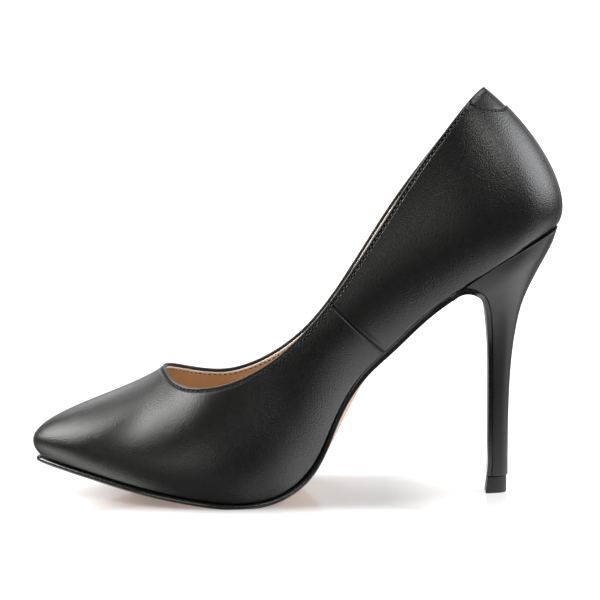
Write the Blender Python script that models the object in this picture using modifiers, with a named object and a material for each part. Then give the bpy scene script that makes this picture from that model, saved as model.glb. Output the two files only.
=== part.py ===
"""Pointed court shoe for the right foot, with a high slender heel and a wrapped forefoot.

Metres, +Z up, toe towards -X, medial (inner) side towards -Y, standing on z = 0.
"""

import math
from collections import namedtuple

import bmesh
import bpy
import numpy as np

# Driving sizes of the finished shoe, in metres
LENGTH = 0.227  # toe to the back of the counter, along the floor
BALL_WIDTH = 0.074  # across the feather line at the ball
HEEL_HEIGHT = 0.115  # floor to the heel seat at the back
TOP_HEIGHT = 0.177  # floor to the highest point of the topline

WALL = 0.0018  # upper leather, stiffener and lining together
GAP = 0.0003  # between pieces that meet
TAB_THICKNESS = 0.0012
TAB_SINK = 0.0006  # how far the heel tab lies below the quarters round it
TAB_DEPTH = 0.009  # from the topline down to the tab's lower edge, at the centre back
TAB_REACH = 1.5  # ring stations from the centre back to where that edge meets the topline
TAB_END = 1.42  # ring station where the tab itself stops
SEAM_DEPTH = 0.0006  # how far the side seam sinks into the upper
SEAM_HALF_WIDTH = 0.12  # in station numbers
TIP_HEIGHT = 0.0072  # rubber top piece under the heel

# The stations below are drawn in millimetres on a last of these sizes, and follow the driving sizes.
DRAWN_LENGTH, DRAWN_WIDTH, DRAWN_HEEL, DRAWN_TOP = 0.227, 0.074, 0.115, 0.177
ALONG = LENGTH / DRAWN_LENGTH
ACROSS = BALL_WIDTH / DRAWN_WIDTH
RISE = HEEL_HEIGHT / DRAWN_HEEL
COLLAR_RISE = TOP_HEIGHT / DRAWN_TOP
MM = 0.001

# Bottom of the last, from the centre back to the toe tip. x and z draw the sole line seen from the side.
# medial and lateral are the feather line's distances from the centre plane, arch is how far the medial
# edge is drawn up, footbed is how high the insole's top lies over the sole line, and edge is how far
# the outsole stands out past the feather line.
Bottom = namedtuple("Bottom", "name x z medial lateral arch footbed edge")
BOTTOM = (
    Bottom("centre back", 109.0, 115.4, 0.0, 0.0, 0.0, 2.5, 0.0),
    Bottom("heel curve", 104.5, 113.3, 11.5, 11.5, 0.0, 2.5, 0.0),
    Bottom("seat", 95.0, 108.6, 18.3, 18.3, 0.0, 2.5, 0.0),
    Bottom("breast", 80.0, 99.4, 20.5, 20.5, 0.0, 2.5, 0.0),
    Bottom("shank rear", 64.0, 88.4, 19.5, 20.0, 0.3, 2.5, -0.5),
    Bottom("shank", 50.0, 75.4, 18.0, 19.8, 1.2, 2.5, -0.5),
    Bottom("seam", 39.0, 63.0, 17.0, 20.0, 2.2, 2.5, -0.5),
    Bottom("arch", 29.0, 50.8, 16.8, 21.0, 3.6, 2.5, -0.3),
    Bottom("arch low", 19.0, 33.5, 18.5, 23.5, 3.6, 3.0, 0.0),
    Bottom("ball rear", 8.0, 14.5, 23.0, 28.0, 2.0, 4.5, 0.4),
    Bottom("joint", -6.0, 4.9, 29.5, 33.5, 0.5, 6.5, 0.7),
    Bottom("ball", -24.0, 2.1, 35.0, 37.0, 0.0, 8.0, 0.8),
    Bottom("tread front", -45.0, 4.2, 35.5, 36.0, 0.0, 8.0, 0.8),
    Bottom("toe break", -66.0, 7.6, 30.5, 28.5, 0.0, 8.0, 0.8),
    Bottom("toe", -87.0, 11.8, 20.5, 17.5, 0.0, 7.0, 0.8),
    Bottom("toe corner", -104.2, 15.3, 10.5, 6.8, 0.0, 5.5, 0.9),
    Bottom("toe tip", -111.6, 17.0, 2.5, -2.5, 0.0, 5.0, 1.0),
)

# Wall of the last at the same stations. x and z draw the medial topline seen from the side, drop is how
# much lower the lateral topline lies, collar is the topline's distance from the centre plane. Each wall
# line leaves the feather line by up and out. It comes to the topline from a point that lies this share
# of the way back to the feather line, and this far over it.
Wall = namedtuple("Wall", "name x z drop collar up out share over")
WALLS = (
    Wall("centre back", 79.4, 176.4, 0.0, 0.0, 8.0, 15.4, 0.35, 16.8),
    Wall("heel curve", 75.0, 174.0, 3.2, 9.0, 9.0, 13.5, 0.33, 14.5),
    Wall("seat", 67.8, 166.5, 5.3, 15.5, 11.0, 9.5, 0.31, 9.0),
    Wall("breast", 51.3, 144.8, 5.4, 19.6, 12.5, 8.0, 0.30, 7.0),
    Wall("shank rear", 38.2, 124.6, 4.0, 21.2, 12.0, 6.5, 0.30, 5.5),
    Wall("shank", 25.5, 104.8, 4.6, 22.2, 11.0, 6.0, 0.30, 5.0),
    Wall("seam", 13.0, 86.8, 5.9, 23.5, 10.0, 6.0, 0.30, 5.0),
    Wall("arch", 4.0, 76.0, 6.3, 25.0, 10.0, 6.5, 0.30, 5.0),
    Wall("arch low", -4.0, 68.2, 6.0, 26.6, 11.0, 7.0, 0.30, 5.0),
    Wall("ball rear", -12.0, 61.8, 5.3, 28.0, 13.0, 7.5, 0.30, 5.5),
    Wall("joint", -20.0, 57.1, 4.7, 28.8, 14.0, 7.5, 0.30, 6.0),
    Wall("ball", -29.0, 53.2, 3.5, 28.6, 14.0, 7.0, 0.30, 6.5),
    Wall("tread front", -38.0, 51.0, 1.5, 27.0, 14.0, 7.5, 0.30, 7.0),
    Wall("toe break", -46.0, 50.4, -0.8, 23.0, 14.0, 9.0, 0.32, 5.0),
    Wall("toe", -52.5, 51.6, -2.1, 15.5, 14.8, 12.5, 0.32, 4.0),
    Wall("toe corner", -56.0, 54.1, -1.3, 7.6, 16.0, 17.0, 0.335, 0.0),
    Wall("toe tip", -57.3, 55.7, 0.0, 0.0, 17.0, 20.0, 0.34, -1.5),
)

# Flap of the outsole, from the shank round the arch and down the breast of the heel, seen from the side.
Flap = namedtuple("Flap", "x z half thick")
FLAP = (
    Flap(69.0, 91.0, 19.2, 1.9),
    Flap(73.5, 91.2, 18.4, 1.8),
    Flap(77.5, 89.4, 16.6, 1.7),
    Flap(80.2, 86.4, 14.0, 1.6),
    Flap(81.6, 82.2, 11.3, 1.5),
    Flap(82.6, 75.0, 8.5, 1.5),
    Flap(83.3, 66.0, 6.2, 1.5),
    Flap(83.7, 48.0, 5.0, 1.5),
    Flap(83.8, 28.0, 4.6, 1.5),
    Flap(83.8, 7.6, 4.5, 1.5),
)
SOLE_THICK, SHANK_THICK = 2.2, 2.5

# Heel sections from the seat down to the top piece: each runs from its front to its back point, seen
# from the side, and is as wide as half on each side. crown lifts its middle to follow the seat, and
# fullness tells how far back it keeps its width.
HeelSection = namedtuple("HeelSection", "front_x front_z back_x back_z half crown fullness")
HEEL = (
    HeelSection(71.2, 92.5, 111.2, 116.4, 20.2, 1.0, 3.6),
    HeelSection(73.6, 91.9, 110.2, 113.0, 19.4, 0.6, 3.4),
    HeelSection(78.2, 89.6, 108.0, 107.4, 17.2, 0.2, 3.2),
    HeelSection(80.9, 86.4, 104.9, 101.4, 14.2, 0.0, 2.9),
    HeelSection(82.3, 82.0, 101.8, 95.4, 11.4, 0.0, 2.7),
    HeelSection(83.3, 74.0, 97.1, 85.1, 8.4, 0.0, 2.5),
    HeelSection(83.7, 64.0, 94.2, 74.2, 6.5, 0.0, 2.4),
    HeelSection(84.0, 52.0, 92.2, 60.0, 5.3, 0.0, 2.4),
    HeelSection(84.1, 36.0, 91.1, 41.0, 4.8, 0.0, 2.4),
    HeelSection(84.1, 20.0, 90.9, 22.0, 4.6, 0.0, 2.4),
    HeelSection(84.1, 7.6, 91.0, 7.6, 4.5, 0.0, 2.4),
)

COLUMNS_PER_STATION = 3
WALL_ROWS = 12
LAST = len(BOTTOM) - 1  # number of the toe tip's station
RING = 2 * LAST  # stations round the whole shoe: medial side, toe, lateral side


def along_unit(vector):
    return vector / np.linalg.norm(vector)


class Spline:
    """A smooth curve through the points, read by station number. All its curves share the spans."""

    def __init__(self, points, spans, closed):
        self.points = np.array(points, float)
        self.spans = np.array(spans, float)
        self.closed = closed
        self.slopes = self.solve_slopes()

    def solve_slopes(self):
        """Slopes at the points that make the curvature continuous."""
        p, h, n = self.points, self.spans, len(self.points)
        matrix, right = np.zeros((n, n)), np.zeros_like(p)
        for i in range(n):
            before, after = (i - 1) % n, (i + 1) % n
            if not self.closed and i in (0, n - 1):
                near = after if i == 0 else before
                span = h[0] if i == 0 else h[-1]
                matrix[i, i], matrix[i, near] = 2.0, 1.0
                right[i] = 3.0 * abs(near - i) * (p[near] - p[i]) * (near - i) / span
                continue
            back, front = h[before], h[i]
            matrix[i, before], matrix[i, i], matrix[i, after] = front, 2.0 * (back + front), back
            rise = front * (p[i] - p[before]) / back + back * (p[after] - p[i]) / front
            right[i] = 3.0 * rise
        return np.linalg.solve(matrix, right)

    def at(self, station):
        n = len(self.points)
        number = math.floor(station)
        if not self.closed:
            number = min(max(number, 0), n - 2)
        f = station - number
        i, j = number % n, (number + 1) % n
        span = self.spans[i]
        start, end = self.points[i], self.points[j]
        return (
            (1 + 2 * f) * (1 - f) ** 2 * start
            + f * (1 - f) ** 2 * span * self.slopes[i]
            + f * f * (3 - 2 * f) * end
            - f * f * (1 - f) * span * self.slopes[j]
        )


def chords(points, closed):
    points = np.array(points, float)
    ends = np.roll(points, -1, axis=0) if closed else points[1:]
    return np.linalg.norm(ends - points[: len(ends)], axis=1)


def open_spline(points):
    return Spline(points, chords(points, False), False)


def sole_direction(number):
    """Unit vector along the sole line at a station, towards the toe, in the side view's x and z."""
    ahead = BOTTOM[min(number + 1, LAST)]
    behind = BOTTOM[max(number - 1, 0)]
    return along_unit(np.array([(ahead.x - behind.x) * ALONG, 0.0, (ahead.z - behind.z) * RISE]))


def sole_up(number):
    """Unit vector square to the sole line, into the shoe."""
    forward = sole_direction(number)
    return np.array([forward[2], 0.0, -forward[0]])


def ring_rows():
    """(station number, side) round the shoe: side is -1 on the medial side and 1 on the lateral one."""
    medial = [(number, -1.0) for number in range(LAST + 1)]
    lateral = [(number, 1.0) for number in range(LAST - 1, 0, -1)]
    return medial + lateral


def feather_station(number, side):
    row = BOTTOM[number]
    half = row.medial if side < 0 else row.lateral
    lift = row.arch if side < 0 else 0.0
    flat = np.array([row.x * ALONG, side * half * ACROSS, row.z * RISE])
    return (flat + lift * sole_up(number)) * MM


def topline_station(number, side):
    row = WALLS[number]
    drop = row.drop if side > 0 else 0.0
    return np.array([row.x * ALONG, side * row.collar * ACROSS, (row.z - drop) * COLLAR_RISE]) * MM


def outward(points):
    """Level unit vectors that point out of a ring that runs clockwise seen from above."""
    run = np.roll(points, -1, axis=0) - np.roll(points, 1, axis=0)
    out = np.stack([-run[:, 1], run[:, 0], np.zeros(len(run))], axis=1)
    return out / np.linalg.norm(out, axis=1, keepdims=True)


class Last:
    """The outside of the upper: wall lines from the feather line to the topline, all round the shoe."""

    def __init__(self):
        rows = ring_rows()
        foot = np.array([feather_station(*row) for row in rows])
        top = np.array([topline_station(*row) for row in rows])
        out = outward(foot)
        low, high = [], []
        for i, (number, _) in enumerate(rows):
            wall = WALLS[number]
            low.append(foot[i] + (wall.up * sole_up(number) + wall.out * out[i]) * MM)
            high.append(top[i] + wall.share * (foot[i] - top[i]) + wall.over * out[i] * MM)
        spans = (chords(foot, True) + chords(top, True)) / 2
        self.lines = [Spline(points, spans, True) for points in (foot, low, high, top)]
        self.out = Spline(out, spans, True)
        values = [(BOTTOM[number].footbed, BOTTOM[number].edge) for number, _ in rows]
        self.values = Spline(values, spans, True)

    def point(self, station, height):
        """Point on the wall at a ring station; height runs from 0 at the feather line to 1 at the topline."""
        foot, low, high, top = (line.at(station) for line in self.lines)
        down = 1.0 - height
        return (
            down**3 * foot
            + 3 * down * down * height * low
            + 3 * down * height * height * high
            + height**3 * top
        )

    def normal(self, station, height, step=0.02):
        """Unit vector out of the wall."""
        low, high = max(height - step, 0.0), min(height + step, 1.0)
        up = self.point(station, high) - self.point(station, low)
        run = self.point(station + step, height) - self.point(station - step, height)
        return along_unit(np.cross(up, run))

    def inside(self, station, height):
        """Point a gap inside the upper's inner face."""
        return self.point(station, height) - (WALL + GAP) * self.normal(station, height)

    def wall_length(self, station):
        points = [self.point(station, height) for height in np.linspace(0.0, 1.0, 13)]
        return chords(points, False).sum()


LAST_SHAPE = Last()


def material(name, colour, roughness):
    made = bpy.data.materials.new(name)
    made.use_nodes = True
    shader = made.node_tree.nodes["Principled BSDF"]
    shader.inputs["Base Color"].default_value = (*colour, 1.0)
    shader.inputs["Roughness"].default_value = roughness
    return made


def add_object(name, mesh_source, finish, collection):
    mesh = bpy.data.meshes.new(name)
    mesh_source.to_mesh(mesh)
    mesh_source.free()
    mesh.materials.append(finish)
    mesh.shade_smooth()
    mesh.set_sharp_from_angle(angle=math.radians(35))
    made = bpy.data.objects.new(name, mesh)
    collection.objects.link(made)
    return made


def mapped_grid(columns, rows, point):
    """A grid whose corner at column i and row j is moved to point(i, j)."""
    grid = bmesh.new()
    bmesh.ops.create_grid(grid, x_segments=columns, y_segments=rows, size=1.0)
    for corner in grid.verts:
        i = round((corner.co.x + 1.0) / 2.0 * columns)
        j = round((corner.co.y + 1.0) / 2.0 * rows)
        corner.co = point(i, j)
    bmesh.ops.remove_doubles(grid, verts=grid.verts, dist=1e-6)
    return grid


def closed_skin(sections):
    """A closed solid over sections of the same number of points: the first and last have no area."""
    around = len(sections[0])
    skin = mapped_grid(len(sections) - 1, around, lambda i, j: sections[i][j % around])
    bmesh.ops.dissolve_degenerate(skin, edges=skin.edges, dist=1e-6)
    bmesh.ops.recalc_face_normals(skin, faces=skin.faces)
    return skin


def side_seam(station, height):
    """Share of the seam's depth: a groove at the medial seam line that fades out over the insole's edge."""
    seam = next(i for i, row in enumerate(BOTTOM) if row.name == "seam")
    fade = min(max((height - 0.1) / 0.15, 0.0), 1.0)
    return fade * max(0.0, 1.0 - abs(station - seam) / SEAM_HALF_WIDTH)


def rim_height(station):
    """Height of the upper's rim: the topline, but for the notch that the heel tab fills."""
    away = min(station % RING, -station % RING)
    depth = TAB_DEPTH * (1.0 - min(away / TAB_REACH, 1.0) ** 3.5)
    return 1.0 - depth / LAST_SHAPE.wall_length(station)


def back_stations():
    """Ring stations round the centre back, close together where the tab's edge turns up."""
    one_side = [0.0, 1 / 3, 2 / 3, 1.0, 1.17, 4 / 3, TAB_END, TAB_REACH]
    return [-station for station in one_side[:0:-1]] + one_side


def upper_stations():
    """Ring stations of the upper's wall lines, with three close together at the side seam."""
    seam = next(i for i, row in enumerate(BOTTOM) if row.name == "seam")
    first = math.ceil(TAB_REACH * COLUMNS_PER_STATION + 1e-6)
    last = RING * COLUMNS_PER_STATION - first
    plain = [i / COLUMNS_PER_STATION for i in range(first, last + 1)]
    return back_stations() + sorted(plain + [seam - SEAM_HALF_WIDTH, seam + SEAM_HALF_WIDTH])


def make_upper(finish, collection):
    stations = upper_stations()[::-1]
    count = len(stations)

    def point(i, j):
        station = stations[i % count]
        height = rim_height(station) * j / WALL_ROWS
        sink = SEAM_DEPTH * side_seam(station, height)
        return LAST_SHAPE.point(station, height) - sink * LAST_SHAPE.normal(station, height)

    upper = add_object("upper", mapped_grid(count, WALL_ROWS, point), finish, collection)
    shell = upper.modifiers.new("wall", "SOLIDIFY")
    shell.thickness = WALL
    shell.offset = -1.0
    return upper


def make_heel_tab(finish, collection):
    """The tab fills the notch that the quarters leave at the top of the centre back."""
    stations = [station for station in back_stations() if abs(station) <= TAB_END][::-1]
    rows = 4

    def point(i, j):
        station = stations[i]
        low = rim_height(station) + GAP / LAST_SHAPE.wall_length(station)
        height = low + (1.0 - low) * j / rows
        return LAST_SHAPE.point(station, height) - TAB_SINK * LAST_SHAPE.normal(station, height)

    tab = add_object("heel_tab", mapped_grid(len(stations) - 1, rows, point), finish, collection)
    shell = tab.modifiers.new("thickness", "SOLIDIFY")
    shell.thickness = TAB_THICKNESS
    shell.offset = -1.0
    return tab


def ring_pairs(first, last):
    """Stations of opposite points of the ring, from the toe tip back: (medial, lateral)."""
    count = round((first - last) * COLUMNS_PER_STATION)
    stations = [first - i / COLUMNS_PER_STATION for i in range(count + 1)]
    return [(station, RING - station) for station in stations]


# Outline of the outsole's section, as (share across from medial to lateral, share of the thickness,
# distance out past the edge): the edge is rounded and tucks in under the sole.
SOLE_OUTLINE = (
    (0.0, 0.0, -0.0001),
    (0.5, 0.0, 0.0),
    (1.0, 0.0, -0.0001),
    (1.0, 0.4, 0.0002),
    (1.0, 1.0, -0.0007),
    (0.5, 1.0, 0.0),
    (0.0, 1.0, -0.0007),
    (0.0, 0.4, 0.0002),
)


def sole_lines():
    """Top edges of the outsole from the toe tip to the end of the flap: (medial, lateral, thickness)."""
    shank_rear = next(i for i, row in enumerate(BOTTOM) if row.name == "shank rear")
    ball = next(i for i, row in enumerate(BOTTOM) if row.name == "ball")
    lines = []
    for pair in ring_pairs(LAST, shank_rear):
        edges = []
        for station in pair:
            edge = LAST_SHAPE.values.at(station)[1] * MM
            edges.append(LAST_SHAPE.point(station, 0.0) + edge * along_unit(LAST_SHAPE.out.at(station)))
        share = min(max((ball - pair[0]) / (ball - shank_rear), 0.0), 1.0)
        lines.append((*edges, (SOLE_THICK + (SHANK_THICK - SOLE_THICK) * share) * MM))
    medial, lateral, thick = lines[-1]
    start = (medial + lateral) / 2 / MM
    rows = [(start[0], start[2], (lateral - medial)[1] / 2 / MM, thick / MM)] + [tuple(f) for f in FLAP]
    flap = open_spline(rows)
    for i in range(1, 2 * len(FLAP) + 1):
        x, z, half, thick = flap.at(i / 2) * MM
        lines.append((np.array([x, -half, z]), np.array([x, half, z]), thick))
    return lines


def make_outsole(finish, collection):
    lines = sole_lines()
    middles = np.array([(medial + lateral) / 2 for medial, lateral, _ in lines])
    sections = []
    for i, (medial, lateral, thick) in enumerate(lines):
        run = middles[min(i + 1, len(lines) - 1)] - middles[max(i - 1, 0)]
        cross = lateral - medial
        side = along_unit(cross) if np.linalg.norm(cross) > MM else np.array([0.0, 1.0, 0.0])
        down = along_unit(np.cross(side, run))
        tip = np.linalg.norm(cross) < MM
        section = []
        for across, depth, out in SOLE_OUTLINE:
            past = along_unit(-run) if tip else side * (2 * across - 1)
            point = medial + across * cross + (GAP + depth * thick) * down + out * past
            point[2] = max(point[2], 0.0)
            section.append(point)
        sections.append(section)
    end = [np.array(p) for p in sections[-1]]
    closing = [(end[i] + end[j]) / 2 for i, j in ((0, 6), (1, 5), (2, 4), (3, 3), (4, 2), (5, 1), (6, 0), (7, 7))]
    return add_object("outsole", closed_skin(sections + [closing]), finish, collection)


def make_insole(finish, collection):
    across = (0.0, 0.25, 0.5, 0.75, 1.0)
    sections = []
    for pair in ring_pairs(LAST, 0):
        low, high = [], []
        for station in pair:
            footbed = LAST_SHAPE.values.at(station)[0] * MM
            length = LAST_SHAPE.wall_length(station)
            low.append(LAST_SHAPE.inside(station, GAP / length))
            high.append(LAST_SHAPE.inside(station, footbed / length))
        bottom = [low[0] + share * (low[1] - low[0]) for share in across]
        top = [high[0] + share * (high[1] - high[0]) for share in across]
        sections.append(bottom + top[::-1])
    return add_object("insole", closed_skin(sections), finish, collection)


HEEL_SIDE = 10  # points from the front corner of a heel section round to its back


def heel_outline(section):
    """Points of one D-shaped section, from the front on the medial side round the back and forward again."""
    front = np.array([section.front_x, 0.0, section.front_z])
    back = np.array([section.back_x, 0.0, section.back_z])
    run = back - front
    up = along_unit(np.array([-run[2], 0.0, run[0]]))
    half_side = []
    for i in range(HEEL_SIDE + 1):
        angle = math.pi / 2 * i / HEEL_SIDE
        share = math.sin(angle)
        width = section.half * max(1.0 - share**section.fullness, 0.0) ** 0.45
        crown = section.crown * 4 * share * (1 - share)
        half_side.append((front + share * run + crown * up, width))
    medial = [(point + np.array([0.0, -width, 0.0])) * MM for point, width in half_side]
    lateral = [(point + np.array([0.0, width, 0.0])) * MM for point, width in half_side[-2::-1]]
    return medial + lateral


def flattened(outline):
    """The section drawn in to its middle line, which closes a solid."""
    return [point * np.array([1.0, 0.0, 1.0]) for point in outline]


def make_heel(finish, collection):
    names = HeelSection._fields
    curve = open_spline([tuple(section) for section in HEEL])
    outlines = []
    for i in range(2 * (len(HEEL) - 1) + 1):
        outlines.append(heel_outline(HeelSection(**dict(zip(names, curve.at(i / 2))))))
    solid = closed_skin([flattened(outlines[0]), *outlines, flattened(outlines[-1])])
    return add_object("heel", solid, finish, collection)


TIP_FLARE = 0.4  # how far the top piece widens towards the floor, in millimetres


def make_top_piece(finish, collection):
    last = HEEL[-1]
    top_z, front_x = TIP_HEIGHT / MM, 82.0
    top = HeelSection(front_x, top_z, last.back_x - 0.6, top_z, last.half - 0.15, 0.0, last.fullness)
    foot = HeelSection(front_x - 0.8, 0.0, last.back_x - 0.6, 0.0, last.half - 0.15 + TIP_FLARE, 0.0, last.fullness)
    outlines = [heel_outline(top), heel_outline(foot)]
    solid = closed_skin([flattened(outlines[0]), *outlines, flattened(outlines[-1])])
    return add_object("top_piece", solid, finish, collection)


def main():
    for old in list(bpy.data.objects):
        bpy.data.objects.remove(old)
    shoe = bpy.data.collections.new("court_shoe")
    bpy.context.scene.collection.children.link(shoe)
    black_leather = material("black leather", (0.012, 0.012, 0.012), 0.38)
    make_upper(black_leather, shoe)
    make_heel_tab(black_leather, shoe)
    make_outsole(material("black sole edge", (0.010, 0.010, 0.010), 0.25), shoe)
    make_insole(material("tan sock lining", (0.45, 0.26, 0.12), 0.6), shoe)
    make_heel(material("black heel cover", (0.014, 0.014, 0.014), 0.42), shoe)
    make_top_piece(material("black rubber", (0.02, 0.02, 0.02), 0.55), shoe)


main()
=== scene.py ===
"""Looks of a pointed court shoe: leather, lining, stitching, sole and heel, in a white studio.

Metres, +Z up, toe towards -X, medial (inner) side towards -Y, standing on z = 0.
"""

import math
from collections import namedtuple

import bmesh
import bpy
import numpy as np
from mathutils import Matrix, Vector


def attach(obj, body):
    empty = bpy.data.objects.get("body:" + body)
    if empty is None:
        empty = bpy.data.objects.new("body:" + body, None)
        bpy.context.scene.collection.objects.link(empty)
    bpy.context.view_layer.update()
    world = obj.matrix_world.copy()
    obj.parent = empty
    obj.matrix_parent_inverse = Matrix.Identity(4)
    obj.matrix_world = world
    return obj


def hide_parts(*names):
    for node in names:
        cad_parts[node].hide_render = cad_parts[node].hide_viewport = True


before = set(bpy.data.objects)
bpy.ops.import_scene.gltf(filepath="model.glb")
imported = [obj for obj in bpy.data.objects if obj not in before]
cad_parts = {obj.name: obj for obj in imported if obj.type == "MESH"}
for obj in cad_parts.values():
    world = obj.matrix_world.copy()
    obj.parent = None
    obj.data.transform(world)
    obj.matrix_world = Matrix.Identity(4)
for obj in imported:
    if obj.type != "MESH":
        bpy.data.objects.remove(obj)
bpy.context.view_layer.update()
MM = 0.001

# Bottom of the last, from the centre back to the toe tip. x and z draw the sole line seen from the side.
# medial and lateral are the feather line's distances from the centre plane, arch is how far the medial
# edge is drawn up, footbed is how high the insole's top lies over the sole line, and edge is how far
# the outsole stands out past the feather line.
Bottom = namedtuple("Bottom", "name x z medial lateral arch footbed edge")
BOTTOM = (
    Bottom("centre back", 109.0, 115.4, 0.0, 0.0, 0.0, 2.5, 0.0),
    Bottom("heel curve", 104.5, 113.3, 11.5, 11.5, 0.0, 2.5, 0.0),
    Bottom("seat", 95.0, 108.6, 18.3, 18.3, 0.0, 2.5, 0.0),
    Bottom("breast", 80.0, 99.4, 20.5, 20.5, 0.0, 2.5, 0.0),
    Bottom("shank rear", 64.0, 88.4, 19.5, 20.0, 0.3, 2.5, -0.5),
    Bottom("shank", 50.0, 75.4, 18.0, 19.8, 1.2, 2.5, -0.5),
    Bottom("seam", 39.0, 63.0, 17.0, 20.0, 2.2, 2.5, -0.5),
    Bottom("arch", 29.0, 50.8, 16.8, 21.0, 3.6, 2.5, -0.3),
    Bottom("arch low", 19.0, 33.5, 18.5, 23.5, 3.6, 3.0, 0.0),
    Bottom("ball rear", 8.0, 14.5, 23.0, 28.0, 2.0, 4.5, 0.4),
    Bottom("joint", -6.0, 4.9, 29.5, 33.5, 0.5, 6.5, 0.7),
    Bottom("ball", -24.0, 2.1, 35.0, 37.0, 0.0, 8.0, 0.8),
    Bottom("tread front", -45.0, 4.2, 35.5, 36.0, 0.0, 8.0, 0.8),
    Bottom("toe break", -66.0, 7.6, 30.5, 28.5, 0.0, 8.0, 0.8),
    Bottom("toe", -87.0, 11.8, 20.5, 17.5, 0.0, 7.0, 0.8),
    Bottom("toe corner", -104.2, 15.3, 10.5, 6.8, 0.0, 5.5, 0.9),
    Bottom("toe tip", -111.6, 17.0, 2.5, -2.5, 0.0, 5.0, 1.0),
)

# Wall of the last at the same stations. x and z draw the medial topline seen from the side, drop is how
# much lower the lateral topline lies, collar is the topline's distance from the centre plane. Each wall
# line leaves the feather line by up and out. It comes to the topline from a point that lies this share
# of the way back to the feather line, and this far over it.
Wall = namedtuple("Wall", "name x z drop collar up out share over")
WALLS = (
    Wall("centre back", 79.4, 176.4, 0.0, 0.0, 8.0, 15.4, 0.35, 16.8),
    Wall("heel curve", 75.0, 174.0, 3.2, 9.0, 9.0, 13.5, 0.33, 14.5),
    Wall("seat", 67.8, 166.5, 5.3, 15.5, 11.0, 9.5, 0.31, 9.0),
    Wall("breast", 51.3, 144.8, 5.4, 19.6, 12.5, 8.0, 0.30, 7.0),
    Wall("shank rear", 38.2, 124.6, 4.0, 21.2, 12.0, 6.5, 0.30, 5.5),
    Wall("shank", 25.5, 104.8, 4.6, 22.2, 11.0, 6.0, 0.30, 5.0),
    Wall("seam", 13.0, 86.8, 5.9, 23.5, 10.0, 6.0, 0.30, 5.0),
    Wall("arch", 4.0, 76.0, 6.3, 25.0, 10.0, 6.5, 0.30, 5.0),
    Wall("arch low", -4.0, 68.2, 6.0, 26.6, 11.0, 7.0, 0.30, 5.0),
    Wall("ball rear", -12.0, 61.8, 5.3, 28.0, 13.0, 7.5, 0.30, 5.5),
    Wall("joint", -20.0, 57.1, 4.7, 28.8, 14.0, 7.5, 0.30, 6.0),
    Wall("ball", -29.0, 53.2, 3.5, 28.6, 14.0, 7.0, 0.30, 6.5),
    Wall("tread front", -38.0, 51.0, 1.5, 27.0, 14.0, 7.5, 0.30, 7.0),
    Wall("toe break", -46.0, 50.4, -0.8, 23.0, 14.0, 9.0, 0.32, 5.0),
    Wall("toe", -52.5, 51.6, -2.1, 15.5, 14.8, 12.5, 0.32, 4.0),
    Wall("toe corner", -56.0, 54.1, -1.3, 7.6, 16.0, 17.0, 0.335, 0.0),
    Wall("toe tip", -57.3, 55.7, 0.0, 0.0, 17.0, 20.0, 0.34, -1.5),
)

# Flap of the outsole, from the shank round the arch and down the breast of the heel, seen from the side.
Flap = namedtuple("Flap", "x z half thick")
FLAP = (
    Flap(69.0, 91.0, 19.2, 1.9),
    Flap(73.5, 91.2, 18.4, 1.8),
    Flap(77.5, 89.4, 16.6, 1.7),
    Flap(80.2, 86.4, 14.0, 1.6),
    Flap(81.6, 82.2, 11.3, 1.5),
    Flap(82.6, 75.0, 8.5, 1.5),
    Flap(83.3, 66.0, 6.2, 1.5),
    Flap(83.7, 48.0, 5.0, 1.5),
    Flap(83.8, 28.0, 4.6, 1.5),
    Flap(83.8, 7.6, 4.5, 1.5),
)
SOLE_THICK, SHANK_THICK = 2.2, 2.5
SHANK_REAR, BALL = 4, 11  # stations between which the sole thickens

# Heel sections from the seat down to the top piece: each runs from its front to its back point, seen
# from the side, and is as wide as half on each side. crown lifts its middle to follow the seat, and
# fullness tells how far back it keeps its width.
HeelSection = namedtuple("HeelSection", "front_x front_z back_x back_z half crown fullness")
HEEL = (
    HeelSection(71.2, 92.5, 111.2, 116.4, 20.2, 1.0, 3.6),
    HeelSection(73.6, 91.9, 110.2, 113.0, 19.4, 0.6, 3.4),
    HeelSection(78.2, 89.6, 108.0, 107.4, 17.2, 0.2, 3.2),
    HeelSection(80.9, 86.4, 104.9, 101.4, 14.2, 0.0, 2.9),
    HeelSection(82.3, 82.0, 101.8, 95.4, 11.4, 0.0, 2.7),
    HeelSection(83.3, 74.0, 97.1, 85.1, 8.4, 0.0, 2.5),
    HeelSection(83.7, 64.0, 94.2, 74.2, 6.5, 0.0, 2.4),
    HeelSection(84.0, 52.0, 92.2, 60.0, 5.3, 0.0, 2.4),
    HeelSection(84.1, 36.0, 91.1, 41.0, 4.8, 0.0, 2.4),
    HeelSection(84.1, 20.0, 90.9, 22.0, 4.6, 0.0, 2.4),
    HeelSection(84.1, 7.6, 91.0, 7.6, 4.5, 0.0, 2.4),
)

LAST_STATION = len(BOTTOM) - 1  # the toe tip
RING = 2 * LAST_STATION  # stations round the whole shoe: medial side, toe, lateral side
SEAM_STATION = 6.0  # where the side seam meets the topline
SEAM_LEAN = 0.05  # how much further forward it meets the feather line, in stations
STATION_WIDTH = 15.0 * MM  # along the shoe, near the seam

# Thicknesses and distances on the upper
LEATHER = 1.2 * MM
WALL = 1.8 * MM  # leather and lining together
GAP = 0.3 * MM
LINING_DROP = 1.2 * MM  # from the topline down to the lining's cut edge
TOPLINE_STITCH = 1.85 * MM  # from the topline down to the stitch row
TAB_STITCH = 1.4 * MM  # from the tab's lower edge down to its stitch row
TAB_DEPTH = 9.0 * MM  # from the topline down to the tab's lower edge, at the centre back
TAB_REACH = 1.5  # stations from the centre back to where that edge meets the topline
TAB_END = 1.46  # station where the tab itself stops
TAB_SINK = 0.6 * MM  # how far the tab lies below the quarters
TAB_LEATHER = 0.5 * MM


def unit(vectors):
    return vectors / np.linalg.norm(vectors, axis=-1, keepdims=True)


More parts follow.
